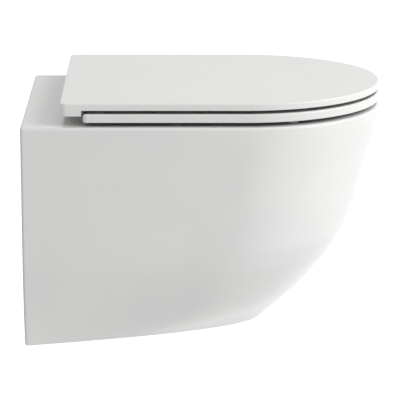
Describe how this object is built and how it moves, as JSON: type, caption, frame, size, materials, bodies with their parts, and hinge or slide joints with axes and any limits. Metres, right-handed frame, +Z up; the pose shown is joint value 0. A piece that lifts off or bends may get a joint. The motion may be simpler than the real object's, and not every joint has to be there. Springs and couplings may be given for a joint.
{
  "type": "wall hung toilet",
  "caption": "D-shaped rimless ceramic toilet pan that hangs on the wall, with a thin soft-close seat and flat lid on lift-off hinges.",
  "frame": {"origin": "on the wall plane, midway between the axes of the two fixing rods", "axes": "+Y out of the back of the toilet into the wall (the toilet points along -Y), +Z up, +X to the right of someone who faces the wall"},
  "size_m": [0.361, 0.5298, 0.3734],
  "materials": {
    "glazed_ceramic": "gloss",
    "seat_plastic": "gloss",
    "bumper_rubber": "satin",
    "seal_rubber": "satin",
    "hinge_steel": "satin",
    "chrome": "polished",
    "hinge_plastic": "satin",
    "damper_plastic": "matt",
    "sleeve_plastic": "matt"
  },
  "bodies": {
    "pan": {"ceramic_pan": "glazed_ceramic", "flush_inlet_seal": "seal_rubber", "wall_fixing_sleeves": "sleeve_plastic", "wall_fixing_washers": "hinge_steel", "wall_fixing_nuts": "hinge_steel", "hinge_stud_left": "hinge_steel", "hinge_stud_right": "hinge_steel", "hinge_gaskets": "seal_rubber", "hinge_rosettes": "chrome", "expanding_plugs": "seal_rubber", "captive_nuts": "hinge_steel"},
    "hinge_blocks": {"hinge_block_left": "hinge_plastic", "hinge_block_right": "hinge_plastic", "hinge_pins": "hinge_steel", "seat_damper_shaft": "hinge_steel", "lid_damper_shaft": "hinge_steel", "latch_clips": "hinge_steel"},
    "release_button_left": {"release_button_left": "chrome"},
    "release_button_right": {"release_button_right": "chrome"},
    "seat": {"seat_ring": "seat_plastic", "seat_bumpers": "bumper_rubber", "seat_damper_barrel": "damper_plastic", "seat_hinge_bush": "sleeve_plastic"},
    "lid": {"lid_shell": "seat_plastic", "lid_bumpers": "bumper_rubber", "lid_damper_barrel": "damper_plastic", "lid_hinge_bush": "sleeve_plastic"}
  },
  "joints": [
    {"name": "seat_lift_off", "type": "slide", "parent": "pan", "child": "hinge_blocks", "axis": [0, 0, 1], "range_m": [0, 0.03], "deforming": ["latch_clips"]},
    {"name": "left_release", "type": "slide", "parent": "hinge_blocks", "child": "release_button_left", "axis": [0, 1, 0], "range_m": [0, 0.002], "stiffness_N_per_m": 1500, "springref_m": -0.001},
    {"name": "right_release", "type": "slide", "parent": "hinge_blocks", "child": "release_button_right", "axis": [0, 1, 0], "range_m": [0, 0.002], "stiffness_N_per_m": 1500, "springref_m": -0.001},
    {"name": "seat_hinge", "type": "hinge", "parent": "hinge_blocks", "child": "seat", "pos_m": [0, -0.0735, 0.1045], "axis": [-1, 0, 0], "range_deg": [0, 95]},
    {"name": "lid_hinge", "type": "hinge", "parent": "seat", "child": "lid", "pos_m": [0, -0.0735, 0.1045], "axis": [1, 0, 0], "range_deg": [-95, 0]}
  ]
}
